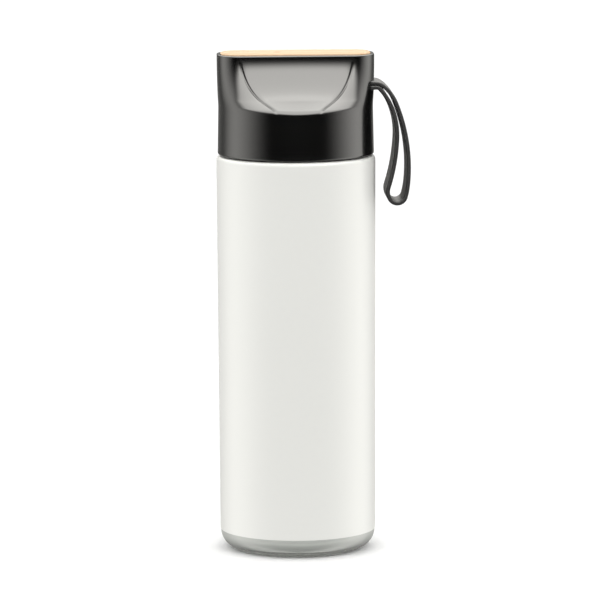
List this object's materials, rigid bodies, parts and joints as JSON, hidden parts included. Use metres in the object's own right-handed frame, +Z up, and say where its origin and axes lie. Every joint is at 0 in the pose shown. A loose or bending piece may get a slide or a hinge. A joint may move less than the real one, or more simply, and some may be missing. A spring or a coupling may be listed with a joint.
{
  "type": "glass water bottle",
  "caption": "White-coated glass water bottle with a clear thick base, a black screw lid pinched to a flat bamboo top, and a flat silicone carry loop on its side.",
  "frame": {"origin": "centre of the base, on the surface that the bottle stands on", "axes": "+Z up along the bottle's axis, +X towards the carry strap, Y across the lid's flat top"},
  "size_m": [0.0833, 0.0684, 0.215],
  "materials": {
    "glass": "clear soda-lime glass with a grey-green tint where it is thick",
    "white_enamel": "glossy white coating fired on the outside of the glass",
    "clear_silicone": "milky soft silicone",
    "natural_polypropylene": "milky uncoloured moulded plastic",
    "black_polypropylene": "satin black moulded plastic",
    "adhesive": "double-sided foam adhesive",
    "bamboo": "side-pressed bamboo, sanded and matt lacquered",
    "stainless_steel": "drawn wire",
    "black_silicone": "matt black moulded silicone"
  },
  "bodies": {
    "bottle": {"glass_bottle": "glass", "white_coat": "white_enamel"},
    "seal": {"seal_ring": "clear_silicone"},
    "lid": {"lid_liner": "natural_polypropylene", "lid_shell": "black_polypropylene", "bamboo_adhesive": "adhesive", "bamboo_top": "bamboo", "strap_pin": "stainless_steel", "strap_bight": "black_silicone"},
    "strap": {"strap_loop": "black_silicone"}
  },
  "joints": [
    {"name": "lid_rise", "type": "slide", "parent": "bottle", "child": "seal", "axis": [0, 0, 1], "range_m": [0, 0.024]},
    {"name": "lid_turn", "type": "hinge", "parent": "seal", "child": "lid", "pos_m": [0, 0, 0.19], "axis": [0, 0, 1], "range_deg": [0, 1080]},
    {"name": "strap_swing", "type": "hinge", "parent": "lid", "child": "strap", "pos_m": [0.03579, 0, 0.2007], "axis": [0, -1, 0], "range_deg": [0, 90]}
  ],
  "couplings": [
    {"joint": "lid_rise", "follows": "lid_turn", "m_per_rad": 0.0012732}
  ]
}
